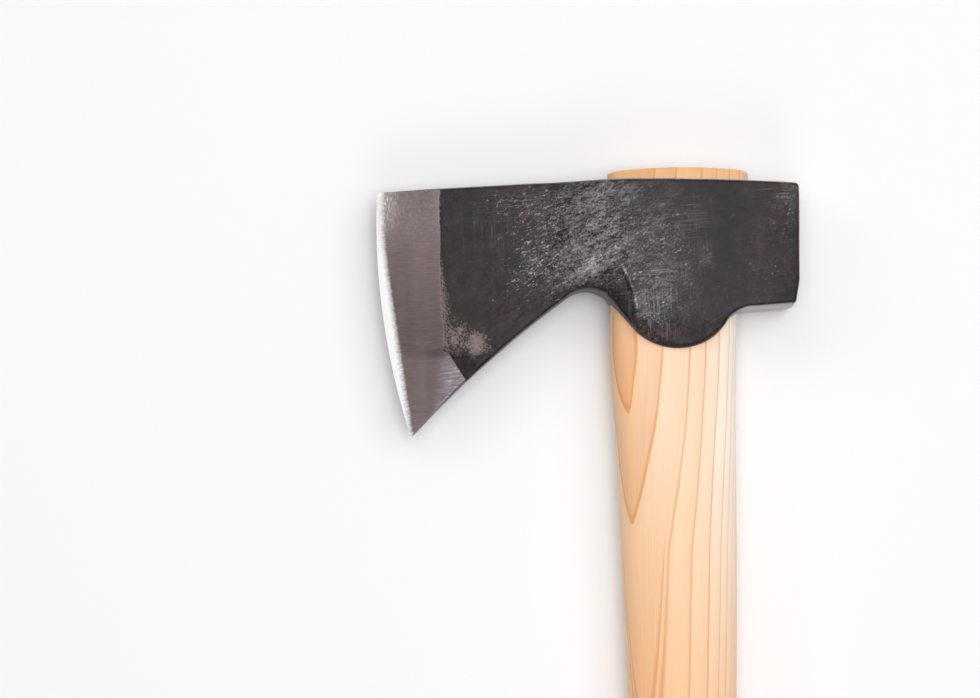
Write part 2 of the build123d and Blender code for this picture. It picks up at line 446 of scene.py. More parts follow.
        # Painted shade on the strip that slopes in along the lug's front rim.
        return level - 0.08 * clamp(self.lug_bevel(x, y, rim) * 2.5) * smoothstep(0.3, 1.6, rim)

    def flecked(self, x: float, y: float) -> float:
        """How thickly bare bright grains stand in the scale, 0 to 1."""
        return clamp(self.fleck_floor + sum(rub.at(x, y) for rub in FLECKED))

    def beyond_facet(self, x: float, y: float) -> float:
        """Signed distance past the line where the heel's facet starts; positive on the facet."""
        (ax, ay), (bx, by) = self.facet_top, self.facet_end
        cross = (bx - ax) * (y - ay) - (by - ay) * (x - ax)
        return -cross / math.hypot(bx - ax, by - ay)

    def ground_field(self, x: float, y: float, side: float) -> float:
        """Signed measure of grinding: above 0 the steel is bare, below 0 the forge scale is left."""
        forged = self.forged_half(x, y) + 0.5 * self.dents(x, y, side)
        bevel = forged - self.ground_half(x, y)
        if y < self.facet_top[1]:
            bevel = min(bevel + 0.05, 0.3 * self.beyond_facet(x, y))
        pit = math.hypot(x - self.facet_top[0] + 0.3, y - self.facet_top[1] - 0.4)
        return bevel - 0.9 * smoothstep(1.0, 0.45, pit)

    def surface(self, x: float, y: float, side: float, rim: float) -> float:
        """Half thickness of the finished head.

        Args:
            x: place along the head.
            y: place up the head.
            side: 1 for the upper cheek, -1 for the lower one.
            rim: distance from the outline, the cutting edge left out.

        Returns:
            Distance of the surface from the mid-plane.
        """
        base = self.forged_half(x, y)
        smooth = self.scoured(x, y) if x < -55.0 else 0.0
        forged = base + self.dents(x, y, side) * (1.0 - 0.6 * smooth) - 0.06 * smooth
        half = min(forged, self.ground_half(x, y))
        half -= self.lug_bevel(x, y, rim)
        radius = min(lerp(*self.rim_radii, smoothstep(-78.0, -70.0, x)), 0.6 * half)
        if rim < radius:
            half -= radius - math.sqrt(max(0.0, radius * radius - (radius - rim) ** 2))
        return half

    def lug_bevel(self, x: float, y: float, rim: float) -> float:
        """Depth of the strip that slopes in along the front of the lug's rim."""
        if x > 8.0 or x < self.crease_front - 3.0 or y > -12.0:
            return 0.0
        width = lerp(*self.lug_bevel_widths, smoothstep(-16.0, 2.0, x))
        depth = self.lug_bevel_depth * clamp(1.0 - rim / width)
        return depth * smoothstep(8.0, -12.0, x) * smoothstep(-12.0, -17.0, y)


@dataclass(frozen=True)
class Oval:
    """Section across the handle, made of four arcs."""

    front: float
    rear: float
    width: float
    end_share: float

    def point(self, turn: float) -> Point:
        """Point of the oval.

        Args:
            turn: share of the way round, from the rear end through the upper side.

        Returns:
            X and Z, with Z from the mid-plane.
        """
        half_width = self.width / 2.0
        half_depth = (self.rear - self.front) / 2.0
        end = half_width * self.end_share
        reach, drop = half_depth - end, half_width - end
        sink = (reach * reach - drop * drop) / (2.0 * drop)
        split = math.atan2(sink, reach)
        quarter = (end * split, (sink + half_width) * (math.pi / 2.0 - split))
        way = (turn % 1.0) * 4.0
        corner = int(way)
        run = (way - corner) if corner % 2 == 0 else 1.0 - (way - corner)
        run *= quarter[0] + quarter[1]
        if run < quarter[0]:
            angle = run / end
            x, z = reach + end * math.cos(angle), end * math.sin(angle)
        else:
            angle = split + (run - quarter[0]) / (sink + half_width)
            x = (sink + half_width) * math.cos(angle)
            z = (sink + half_width) * math.sin(angle) - sink
        x = x if corner in (0, 3) else -x
        z = z if corner in (0, 1) else -z
        return (self.front + self.rear) / 2.0 + x, z


@dataclass(frozen=True)
class HandleForm:
    """Sections of the handle from the top of the stub to the end of the knob."""

    stub_top: float
    end: float
    stations: tuple[tuple[float, Oval], ...]

    @classmethod
    def hung_in(cls, outline: HeadOutline, low: Vector, high: Vector) -> "HandleForm":
        """Handle that fits the head's eye and fills the CAD handle's box.

        Args:
            outline: the head that it hangs in.
            low: lowest corner of the handle, in millimetres.
            high: highest corner of the handle, in millimetres.

        Returns:
            The form with its stations.
        """
        knob = high.z - low.z
        eye = Oval(-21.8, 23.2, 18.6, 0.6)
        stations = (
            (high.y + 2.0, eye),
            (outline.crown, eye),
            (-6.0, Oval(-20.6, 20.6, 17.4, 0.6)),
            (-36.0, Oval(-21.2, 19.2, 20.4, 0.78)),
            (-66.0, Oval(-19.2, 19.0, 21.2, 0.78)),
            (-108.0, Oval(-17.2, 19.1, 21.8, 0.78)),
            (-152.0, Oval(-15.2, 18.7, 22.4, 0.78)),
            (-200.0, Oval(-13.6, 18.0, 23.0, 0.78)),
            (-248.0, Oval(-13.6, 17.6, 23.4, 0.78)),
            (low.y + 46.0, Oval(-15.8, 18.8, 24.6, 0.78)),
            (low.y + 14.5, Oval(-20.4, 21.6, knob, 0.78)),
            (low.y, Oval(-17.8, 19.0, knob - 5.2, 0.78)),
        )
        return cls(high.y, low.y, stations)

    def section(self, y: float) -> Oval:
        """Section at a height, by a smooth curve through the stations."""
        rows = self.stations
        index = next((i for i in range(len(rows) - 1) if y >= rows[i + 1][0]), len(rows) - 2)
        top, base = rows[index], rows[index + 1]
        before, after = rows[max(index - 1, 0)], rows[min(index + 2, len(rows) - 1)]
        share = clamp((top[0] - y) / (top[0] - base[0]))

        def blend(pick: Callable[[Oval], float]) -> float:
            """Measure of the section, eased between the nearest stations."""
            a, b, c, d = (pick(row[1]) for row in (before, top, base, after))
            run = top[0] - base[0]
            rise_b = 0.0 if before is top else (c - a) * run / (before[0] - base[0])
            rise_c = (c - b) if after is base else (d - b) * run / (top[0] - after[0])
            t2, t3 = share * share, share**3
            ease = (2 * t3 - 3 * t2 + 1) * b + (t3 - 2 * t2 + share) * rise_b
            return ease + (3 * t2 - 2 * t3) * c + (t3 - t2) * rise_c

        return Oval(*(blend(attrgetter(measure.name)) for measure in fields(Oval)))

    def point(self, y: float, turn: float, grow: float = 0.0) -> Vector:
        """Point of the handle's skin at a height and turn, grown outwards by a little."""
        oval = self.section(y)
        fuller = Oval(oval.front - grow, oval.rear + grow, oval.width + 2.0 * grow, oval.end_share)
        x, z = fuller.point(turn)
        return Vector((x, y, z))


def new_piece(name: str, bm: bmesh.types.BMesh) -> bpy.types.Object:
    """Object that holds a bmesh, linked to the scene; the bmesh is freed."""
    mesh = bpy.data.meshes.new(name)
    bm.to_mesh(mesh)
    bm.free()
    piece = bpy.data.objects.new(name, mesh)
    bpy.context.scene.collection.objects.link(piece)
    return piece


class Cut(Enum):
    """What a closed tool does to a piece."""

    AWAY = "DIFFERENCE"
    SHARED = "INTERSECT"
    JOINED = "UNION"


def carve(piece: bpy.types.Object, tool: bpy.types.Object, kind: Cut = Cut.AWAY) -> None:
    """Works on a piece with a closed tool and removes the tool.

    Args:
        piece: the piece whose mesh is replaced.
        tool: the closed shape.
        kind: whether the tool is cut away, joined on, or only what both share is kept.
    """
    cut = piece.modifiers.new("cut", "BOOLEAN")
    cut.operation = kind.value
    cut.solver = "EXACT"
    cut.object = tool
    evaluated = piece.evaluated_get(bpy.context.evaluated_depsgraph_get())
    carved = bpy.data.meshes.new_from_object(evaluated)
    piece.modifiers.clear()
    old = piece.data
    piece.data = carved
    bpy.data.meshes.remove(old)
    bpy.data.objects.remove(tool)


def settle(piece: bpy.types.Object, lift: float, crease_angle: float = 40.0) -> None:
    """Puts a piece drawn in millimetres about the mid-plane where it belongs, in metres, smooth shaded.

    Args:
        piece: the piece.
        lift: height of the mid-plane above the resting plane, in millimetres.
        crease_angle: edges that turn by more degrees than this stay sharp.
    """
    bm = bmesh.new()
    bm.from_mesh(piece.data)
    bmesh.ops.translate(bm, verts=bm.verts, vec=(0.0, 0.0, lift))
    bmesh.ops.scale(bm, verts=bm.verts, vec=(MM, MM, MM))
    bm.to_mesh(piece.data)
    bm.free()
    piece.data.shade_smooth()
    piece.data.set_sharp_from_angle(angle=math.radians(crease_angle))
    piece.data.name = piece.name


def wrapped_grid(around: int, rows: int, place: Callable[[float, int], Vector]) -> bmesh.types.BMesh:
    """Closed tube, rolled from a grid, whose first and last rows are each drawn to a point.

    Args:
        around: faces round the tube.
        rows: faces along the tube.
        place: gives the position for a turn from 0 to 1 and a row number from 0 to rows.

    Returns:
        The closed mesh with its faces outwards.
    """
    bm = bmesh.new()
    bmesh.ops.create_grid(bm, x_segments=around, y_segments=rows, size=1.0)
    for vert in bm.verts:
        turn = round((vert.co.x + 1.0) / 2.0 * around) % around / around
        row = round((vert.co.y + 1.0) / 2.0 * rows)
        vert.co = place(turn, row)
    bmesh.ops.remove_doubles(bm, verts=bm.verts, dist=1e-4)
    bmesh.ops.recalc_face_normals(bm, faces=bm.faces)
    return bm


def paint(piece: bpy.types.Object, name: str, reading: Callable[[Vector], float], lift: float) -> None:
    """Stores a number on each point of a settled piece for its finish to read.

    Args:
        piece: the settled piece.
        name: name of the attribute.
        reading: gives the number for a place in millimetres about the mid-plane.
        lift: height of the mid-plane above the resting plane, in millimetres.
    """
    layer = piece.data.attributes.new(name, "FLOAT", "POINT")
    middle = Vector((0.0, 0.0, lift))
    layer.data.foreach_set("value", [reading(vert.co / MM - middle) for vert in piece.data.vertices])


@dataclass
class ForgedHead:
    """The steel head: two forged cheeks, the belt that joins them round the outline, and the eye."""

    outline: HeadOutline
    relief: HeadRelief
    form: HandleForm
    lift: float
    honed_columns: int = 8
    bevel_columns: int = 36
    forged_columns: int = 236
    rows: int = 116
    belt_cuts: int = 5
    belt_crown: float = 0.45
    belt_uneven: float = 0.07
    upright_span: Point = (22.0, 84.0)
    crowding: float = 0.3
    eye_gap: float = 0.03
    eye_mouth: float = 0.7
    mouth_flare: float = 0.8
    rim_samples: int = 2600
    sharp_over: float = 42.0
    rim_tree: kdtree.KDTree = field(init=False)

    def __post_init__(self) -> None:
        """Samples the outline, the cutting edge left out, for measuring distances from it."""
        outline = self.outline
        heel_x, toe_x = outline.edge_x(outline.heel), outline.edge_x(outline.toe)
        samples: list[Vector] = []
        for step in range(self.rim_samples + 1):
            share = step / self.rim_samples
            x = lerp(heel_x, outline.poll_foot[0], share)
            samples.append(Vector((x, outline.bottom(x), 0.0)))
            x = lerp(toe_x + 0.4, outline.poll, share)
            samples.append(Vector((x, outline.top(x), 0.0)))
            y = lerp(outline.poll_foot[1], outline.poll_top, share)
            samples.append(Vector((outline.poll_x(y), y, 0.0)))
        self.rim_tree = kdtree.KDTree(len(samples))
        for index, sample in enumerate(samples):
            self.rim_tree.insert(sample, index)
        self.rim_tree.balance()

    def rim(self, x: float, y: float) -> float:
        """Distance from the outline, the cutting edge left out."""
        return self.rim_tree.find(Vector((x, y, 0.0)))[2]

    def column_depth(self, column: int) -> float:
        """Distance of a mesh column behind the cutting edge."""
        relief = self.relief
        if column <= self.honed_columns:
            return relief.honed_widest * column / self.honed_columns
        column -= self.honed_columns
        if column <= self.bevel_columns:
            return lerp(relief.honed_widest, relief.bevel_width, column / self.bevel_columns)
        column -= self.bevel_columns
        span = self.outline.reach + self.outline.poll
        share = column / self.forged_columns
        return lerp(relief.bevel_width, span, share + 0.05 * math.sin(math.pi * share) * share)

    def column_x(self, depth: float, y: float) -> float:
        """X of a column at a height: along the edge at the blade, upright at the eye and the poll."""
        outline = self.outline
        upright = depth - outline.reach
        share = smoothstep(*self.upright_span, depth)
        x = lerp(outline.edge_x(y, min(depth, 100.0)), upright, share) if share < 1.0 else upright
        return x - (outline.poll - outline.poll_x(y)) * smoothstep(24.0, outline.poll, upright)

    def column_end(self, depth: float, line: Callable[[float], float], start: float) -> float:
        """Height at which a column meets the lower or the top line of the head."""
        y = start
        for _ in range(24):
            y = lerp(y, line(self.column_x(depth, y)), 0.8)
        return y

    def cheek(self) -> bmesh.types.BMesh:
        """Upper cheek as a grid drawn onto the outline, flat."""
        columns = self.honed_columns + self.bevel_columns + self.forged_columns
        bm = bmesh.new()
        bmesh.ops.create_grid(bm, x_segments=columns, y_segments=self.rows, size=1.0)
        depths = [self.column_depth(column) for column in range(columns + 1)]
        ends = [
            (
                self.column_end(depth, self.outline.bottom, lerp(self.outline.heel, -20.0, depth / 134.0)),
                self.column_end(depth, self.outline.top, self.outline.crown),
            )
            for depth in depths
        ]
        for vert in bm.verts:
            column = round((vert.co.x + 1.0) / 2.0 * columns)
            share = (vert.co.y + 1.0) / 2.0
            share -= self.crowding * math.sin(2.0 * math.pi * share) / (2.0 * math.pi)
            low, high = ends[column]
            y = lerp(low, high, share)
            vert.co = Vector((self.column_x(depths[column], y), y, 1.0))
        return bm

    def belt(self, bm: bmesh.types.BMesh) -> None:
        """Joins the two cheeks round the outline with a band that is slightly crowned and uneven."""
        rim_edges = [edge for edge in bm.edges if edge.is_boundary]
        bridged = bmesh.ops.bridge_loops(bm, edges=rim_edges)
        rungs = [edge for edge in bridged["edges"] if edge.verts[0].co.z * edge.verts[1].co.z < 0.0]
        before = set(bm.verts)
        bmesh.ops.subdivide_edges(bm, edges=rungs, cuts=self.belt_cuts, use_grid_fill=True)
        bmesh.ops.recalc_face_normals(bm, faces=bm.faces)
        bm.normal_update()
        moves: list[tuple[bmesh.types.BMVert, Vector]] = []
        for vert in bm.verts:
            if vert in before:
                continue
            x, y, z = vert.co
            half = max(self.relief.surface(x, y, 1.0, 0.0), 0.3)
            crown = self.belt_crown * smoothstep(2.0, 9.0, half) * (1.0 - clamp(abs(z) / half) ** 2)
            crown += self.belt_uneven * smoothstep(1.0, 4.0, half) * fractal(x / 6.0, y / 6.0, z / 6.0, 2)
            outward = Vector((vert.normal.x, vert.normal.y, 0.0))
            if outward.length > 0.3:
                moves.append((vert, outward.normalized() * crown))
        for vert, move in moves:
            vert.co += move

    def eye_tool(self) -> bpy.types.Object:
        """Closed shape of the eye, a hair wider than the handle and flared at its mouth."""
        mouth = self.outline.crown
        levels = [-58.0, -58.0, -50.0, -40.0, -36.0, -33.0, -30.0, -25.0, -20.0, -14.0, -8.0, -2.0, 4.0]
        levels += [10.0, 15.0, mouth - self.eye_mouth, mouth, mouth + 2.0, mouth + 2.0]

        def place(turn: float, row: int) -> Vector:
            """Point of the eye's wall, or the middle of its closed end."""
            y = levels[row]
            middle = self.form.section(y)
            if row in (0, len(levels) - 1):
                return Vector(((middle.front + middle.rear) / 2.0, y, 0.0))
            grow = self.eye_gap + max(0.0, y - (mouth - self.eye_mouth)) * self.mouth_flare
            return self.form.point(y, turn, grow)

        return new_piece("eye_tool", wrapped_grid(120, len(levels) - 1, place))

    def build(self) -> bpy.types.Object:
        """Makes the head's mesh and what its finish reads from it."""
        bm = self.cheek()
        whole = bm.verts[:] + bm.edges[:] + bm.faces[:]
        bmesh.ops.mirror(bm, geom=whole, axis="Z", merge_dist=-1.0)
        for vert in bm.verts:
            side = math.copysign(1.0, vert.co.z)
            x, y = vert.co.x, vert.co.y
            vert.co.z = side * self.relief.surface(x, y, side, self.rim(x, y))
        self.belt(bm)
        head = new_piece("forged_head", bm)
        carve(head, self.eye_tool())
        settle(head, self.lift, self.sharp_over)
        self.mark(head)
        return head

    def mark(self, head: bpy.types.Object) -> None:
        """Stores grinding, wear with its painted highlight and shade, rim and edge distances on the mesh."""
        relief, outline = self.relief, self.outline
        readings: dict[str, Callable[[Vector], float]] = {
            "ground": lambda p: relief.ground_field(p.x, p.y, math.copysign(1.0, p.z)),
            "scour": lambda p: relief.scoured(p.x, p.y) if p.x < -50.0 else 0.0,
            "honed": lambda p: relief.honed_width(p.y) - outline.behind_edge(p.x, p.y),
            "worn": lambda p: relief.worn(p.x, p.y, self.rim(p.x, p.y)),
            "flecked": lambda p: relief.flecked(p.x, p.y),
            "scratched_along": lambda p: patches(SCRATCHED_ALONG, p.x, p.y),
            "scratched_up": lambda p: patches(SCRATCHED_UP, p.x, p.y),
            "rim": lambda p: self.rim(p.x, p.y),
            "facet": self.facet_share,
        }
        for name, reading in readings.items():
            paint(head, name, reading, self.lift)

    def facet_share(self, p: Vector) -> float:
        """How much a point lies on the heel's facet, fading towards the bevel."""
        past = self.relief.beyond_facet(p.x, p.y)
        if past < 0.0 or p.y > self.relief.facet_top[1]:
            return 0.0
        return smoothstep(-77.5, -71.5, p.x - 0.12 * (p.y + 40.0)) * smoothstep(0.0, 0.3, past)


@dataclass
class Handle:
    """The wooden handle with its tenon, stub and knob."""

    form: HandleForm
    around: int = 144
    step: float = 1.5
    dome: float = 0.9
    dome_middle: float = 4.5
    dome_reach: float = 27.0
    stub_round: float = 0.7
    knob_round: float = 1.6
    cap_reach: float = 12.0
    cap_rings: tuple[float, ...] = (0.0, 0.2, 0.45, 0.7, 0.88, 0.96, 0.99, 1.0)

    def stub_height(self, x: float) -> float:
        """Height of the stub's sawn and sanded top at an X."""
        return self.form.stub_top - 0.25 + self.dome * (0.1 - ((x - self.dome_middle) / self.dome_reach) ** 2)

    def blank(self, name: str, drop: float = 0.0) -> bpy.types.Object:
        """Whole handle before the wedge's slot is cut, its top lowered by drop."""
        form, cap = self.form, self.cap_rings
        body_rows = round((form.stub_top - form.end) / self.step)
        total = len(cap) * 2 + body_rows

        def place(turn: float, row: int) -> Vector:
            """Point of the stub's end, the skin or the knob's end."""
            if row < len(cap):
                return self.end_cap(turn, cap[row], True, drop)
            if row > total - len(cap):
                return self.end_cap(turn, cap[total - row], False, 0.0)
            share = (row - len(cap)) / (body_rows + 1)
            y = lerp(form.stub_top - self.knob_round, form.end + self.knob_round, share)
            return form.point(y, turn)

        return new_piece(name, wrapped_grid(self.around, total, place))

    def end_cap(self, turn: float, share: float, stub: bool, drop: float) -> Vector:
        """Point of a domed and rounded end.

        Args:
            turn: share of the way round.
            share: share of the way from the end's middle to its rim.
            stub: whether it is the stub's end or the knob's.
            drop: how far the end is lowered.

        Returns:
            The point.
        """
        form = self.form
        y = form.stub_top - 1.0 if stub else form.end + 1.0
        section = form.section(y)
        middle = Vector(((section.front + section.rear) / 2.0, y, 0.0))
        radius = self.stub_round if stub else self.knob_round
        inner = 1.0 - radius / self.cap_reach
        spot = middle.lerp(form.point(y, turn), share)
        gap = clamp((share - inner) / (1.0 - inner))
        round_drop = radius * (1.0 - math.sqrt(1.0 - gap * gap))
        if stub:
            spot.y = self.stub_height(spot.x) - round_drop - drop
        else:
            spot.y = form.end + self.dome * min(share / inner, 1.0) ** 2 + round_drop
        return spot


@dataclass
class EyeLock:
    """What holds the head: the wooden wedge in the tenon and the spike driven across it."""

    form: HandleForm
    wedge_sunk: float = 0.15
    spike_sunk: float = 0.1
    pocket_over: float = 2.0
    through: float = 70.0
    thickness: float = 5.0
    tip_thickness: float = 1.0
    length: float = 36.0
    kerf_width: float = 1.0
    kerf_depth: float = 5.0
    over: float = 4.0
    legs: int = 3
    reach: float = 8.0
    leg_thickness: float = 1.8
    leg_length: float = 18.0
    point_share: float = 0.22

    def slot_tool(self, name: str, with_kerf: bool) -> bpy.types.Object:
        """Closed wedge shape that runs right through the tenon, with the saw cut below it."""
        top = self.form.stub_top + self.over
        tip = self.form.stub_top - self.length
        taper = (self.thickness - self.tip_thickness) / self.length
        wide = self.thickness / 2.0 + taper * self.over / 2.0
        bm = bmesh.new()
        bmesh.ops.create_cube(bm, size=1.0)
        for vert in bm.verts:
            high = vert.co.y > 0.0
            side = math.copysign(1.0, vert.co.z)
            half = wide if high else self.tip_thickness / 2.0
            vert.co = Vector((vert.co.x * self.through, top if high else tip, side * half))
        tool = new_piece(name, bm)
        if with_kerf:
            kerf = bmesh.new()
            bmesh.ops.create_cube(kerf, size=1.0)
            cut = (self.through, self.kerf_depth + 1.0, self.kerf_width * 0.999)
            bmesh.ops.scale(kerf, verts=kerf.verts, vec=cut)
            bmesh.ops.translate(kerf, verts=kerf.verts, vec=(0.0, tip - (self.kerf_depth - 1.0) / 2.0, 0.0))
            carve(tool, new_piece("kerf", kerf), Cut.JOINED)
        return tool

    def spike(self, name: str, top: float, proud: float = 0.0) -> bpy.types.Object:
        """Star of flat legs that narrow to a point, its top raised where it is to cut its own pocket."""
        bm = bmesh.new()
        level = top + proud
        half = self.leg_thickness / 2.0
        notch = half / math.sin(math.pi / self.legs)
        corners: list[bmesh.types.BMVert] = []
        for leg in range(self.legs):
            angle = 2.0 * math.pi * leg / self.legs
            along, aside = math.cos(angle), math.sin(angle)
            for side in (-half, half):
                spot = (self.reach * along - side * aside, level, self.reach * aside + side * along)
                corners.append(bm.verts.new(spot))
            angle += math.pi / self.legs
            corners.append(bm.verts.new((notch * math.cos(angle), level, notch * math.sin(angle))))
        cap = bm.faces.new(corners)
        grown = bmesh.ops.extrude_face_region(bm, geom=[cap])
        lower = [item for item in grown["geom"] if isinstance(item, bmesh.types.BMVert)]
        bmesh.ops.scale(bm, verts=lower, vec=(self.point_share, 1.0, self.point_share))
        bmesh.ops.translate(bm, verts=lower, vec=(0.0, -self.leg_length, 0.0))
        bmesh.ops.recalc_face_normals(bm, faces=bm.faces)
        return new_piece(name, bm)


class RampStyle(Enum):
    """How a ramp runs from one stop to the next."""

    STRAIGHT = "LINEAR"
    EASED = "EASE"
    STEPPED = "CONSTANT"


class Signal:
    """Number, colour or place on a material's bench, which plain sums and products work on."""

    def __init__(self, desk: "Desk", socket: Socket) -> None:
        """Keeps the bench and the socket that carries the value."""
        self.desk, self.socket = desk, socket

    def __add__(self, other: object) -> "Signal":
        """Sum of two numbers."""
        return self.desk.maths("ADD", self, other)

    def __sub__(self, other: object) -> "Signal":
        """Difference of two numbers."""
        return self.desk.maths("SUBTRACT", self, other)

    def __rsub__(self, other: float) -> "Signal":
        """What the number leaves of a plain one."""
        return self.desk.maths("SUBTRACT", other, self)

    def __mul__(self, other: object) -> "Signal":
        """Product of two numbers."""
        return self.desk.maths("MULTIPLY", self, other)

    def __truediv__(self, other: float) -> "Signal":
        """Quotient of two numbers."""
        return self.desk.maths("DIVIDE", self, other)

    def __pow__(self, other: float) -> "Signal":
        """Power of a number."""
        return self.desk.maths("POWER", self, other)

    def __abs__(self) -> "Signal":
        """Size of a number without its sign."""
        return self.desk.maths("ABSOLUTE", self)

    def at_least(self, other: object) -> "Signal":
        """Larger of two numbers."""
        return self.desk.maths("MAXIMUM", self, other)

    def ramp(self, *stops: tuple[float, float], style: RampStyle = RampStyle.STRAIGHT) -> "Signal":
        """Number read through a ramp.

        Args:
            stops: (place, level) pairs, their places from low to high.
            style: how the ramp runs from one stop to the next.

        Returns:
            The level.
        """
        low, span = stops[0][0], stops[-1][0] - stops[0][0]
        node = self.desk.node("ValToRGB")
        node.color_ramp.interpolation = style.value
        self.desk.feed(node.inputs[0], (self - low) / span)
        elements = node.color_ramp.elements
        while len(elements) < len(stops):
            elements.new(0.5)
        for element, (place, level) in zip(elements, stops):
            element.position = (place - low) / span
            element.color = (level, level, level, 1.0)
        return Signal(self.desk, node.outputs["Color"])


class Desk:
    """Node bench of one material, with Object coordinates turned to millimetres."""

    def __init__(self, name: str) -> None:
        """Clears a new material's nodes and lays out its shader."""
        self.material = bpy.data.materials.new(name)
        self.material.use_nodes = True
        self.tree = self.material.node_tree
        self.tree.nodes.clear()
        self.shader = self.node("BsdfPrincipled")
        self.tree.links.new(self.shader.outputs["BSDF"], self.node("OutputMaterial").inputs["Surface"])
        self.place = self.vector("MULTIPLY", self.node("TexCoord").outputs["Object"], (1.0 / MM,) * 3)

    def node(self, kind: str, **settings: str) -> bpy.types.Node:
        """New node of a kind with its settings."""
        node = self.tree.nodes.new(f"ShaderNode{kind}")
        for name, value in settings.items():
            setattr(node, name, value)
        return node

    def feed(self, socket: Socket, value: object) -> None:
        """Links a socket to a signal or another socket, or sets its plain value."""
        if isinstance(value, Signal):
            value = value.socket
        if isinstance(value, bpy.types.NodeSocket):
            self.tree.links.new(value, socket)
        elif socket.type == "RGBA" and isinstance(value, tuple):
            socket.default_value = (*value, 1.0)
        else:
            socket.default_value = value

    def vector(self, operation: str, first: object, second: object) -> Signal:
        """Result of a vector operation on two values."""
        node = self.node("VectorMath", operation=operation)
        self.feed(node.inputs[0], first)
        self.feed(node.inputs[1], second)
        return Signal(self, node.outputs["Value" if operation == "DOT_PRODUCT" else "Vector"])

    def maths(self, operation: str, *values: object) -> Signal:
        """Result of a number operation, held to no limits."""
        node = self.node("Math", operation=operation)
        for socket, value in zip(node.inputs, values):
            self.feed(socket, value)
        return Signal(self, node.outputs[0])

    def run(self, x: float, y: float, z: float, source: Optional[Signal] = None) -> Signal:
        """Distance along a direction, of the point itself or of another place or vector."""
        return self.vector("DOT_PRODUCT", source or self.place, (x, y, z))

    def noise(
        self,
        cells: tuple[float, float, float],
        detail: float,
        roughness: float,
        turn: float = 0.0,
        source: Optional[Signal] = None,
    ) -> Signal:
        """Noise from 0 to 1.

        Args:
            cells: noise cells to the millimetre along each axis.
            detail: how many finer layers lie on the coarse one.
            roughness: weight of the finer layers.
            turn: degrees that the place is turned by about Z before it is stretched.
            source: the place to read it at, where it isn't the point itself.

        Returns:
            The noise.
        """
        mapping = self.node("Mapping", vector_type="POINT")
        mapping.inputs["Rotation"].default_value = (0.0, 0.0, math.radians(turn))
        self.feed(mapping.inputs["Vector"], source or self.place)
        node = self.node("TexNoise")
        self.feed(node.inputs["Vector"], self.vector("MULTIPLY", mapping.outputs["Vector"], cells))
        for name, value in (("Scale", 1.0), ("Detail", detail), ("Roughness", roughness)):
            node.inputs[name].default_value = value
        return Signal(self, node.outputs["Fac"])

    def mix(self, share: object, first: object, second: object, blend: str = "MIX") -> Signal:
        """Colour mixed from two colours."""
        node = self.node("Mix", data_type="RGBA", blend_type=blend)
        for index, value in ((0, share), (6, first), (7, second)):
            self.feed(node.inputs[index], value)
        return Signal(self, node.outputs[2])

    def shaded(self, colour: object, shade: Signal) -> Signal:
        """Colour made lighter or darker by a number."""
        return self.mix(1.0, colour, shade, "MULTIPLY")

    def level(self, share: Signal, first: object, second: object) -> Signal:
        """Number mixed from two numbers."""
        node = self.node("Mix", data_type="FLOAT")
        for index, value in ((0, share), (2, first), (3, second)):
            self.feed(node.inputs[index], value)
        return Signal(self, node.outputs[0])

    def reading(self, name: str) -> Signal:
        """Number painted on the mesh."""
        return Signal(self, self.node("Attribute", attribute_name=name).outputs["Fac"])

    def bump(self, height: Signal, distance: float) -> None:
        """Raises the surface by a height of 0 to 1 times a distance in millimetres."""
        node = self.node("Bump")
        node.inputs["Strength"].default_value = 1.0
        node.inputs["Distance"].default_value = distance * MM
        self.feed(node.inputs["Height"], height)
        self.tree.links.new(node.outputs["Normal"], self.shader.inputs["Normal"])

    def set(self, **values: object) -> None:
        """Feeds the shader's sockets, named with underscores for spaces."""
        for name, value in values.items():
            self.feed(self.shader.inputs[name.replace("_", " ")], value)


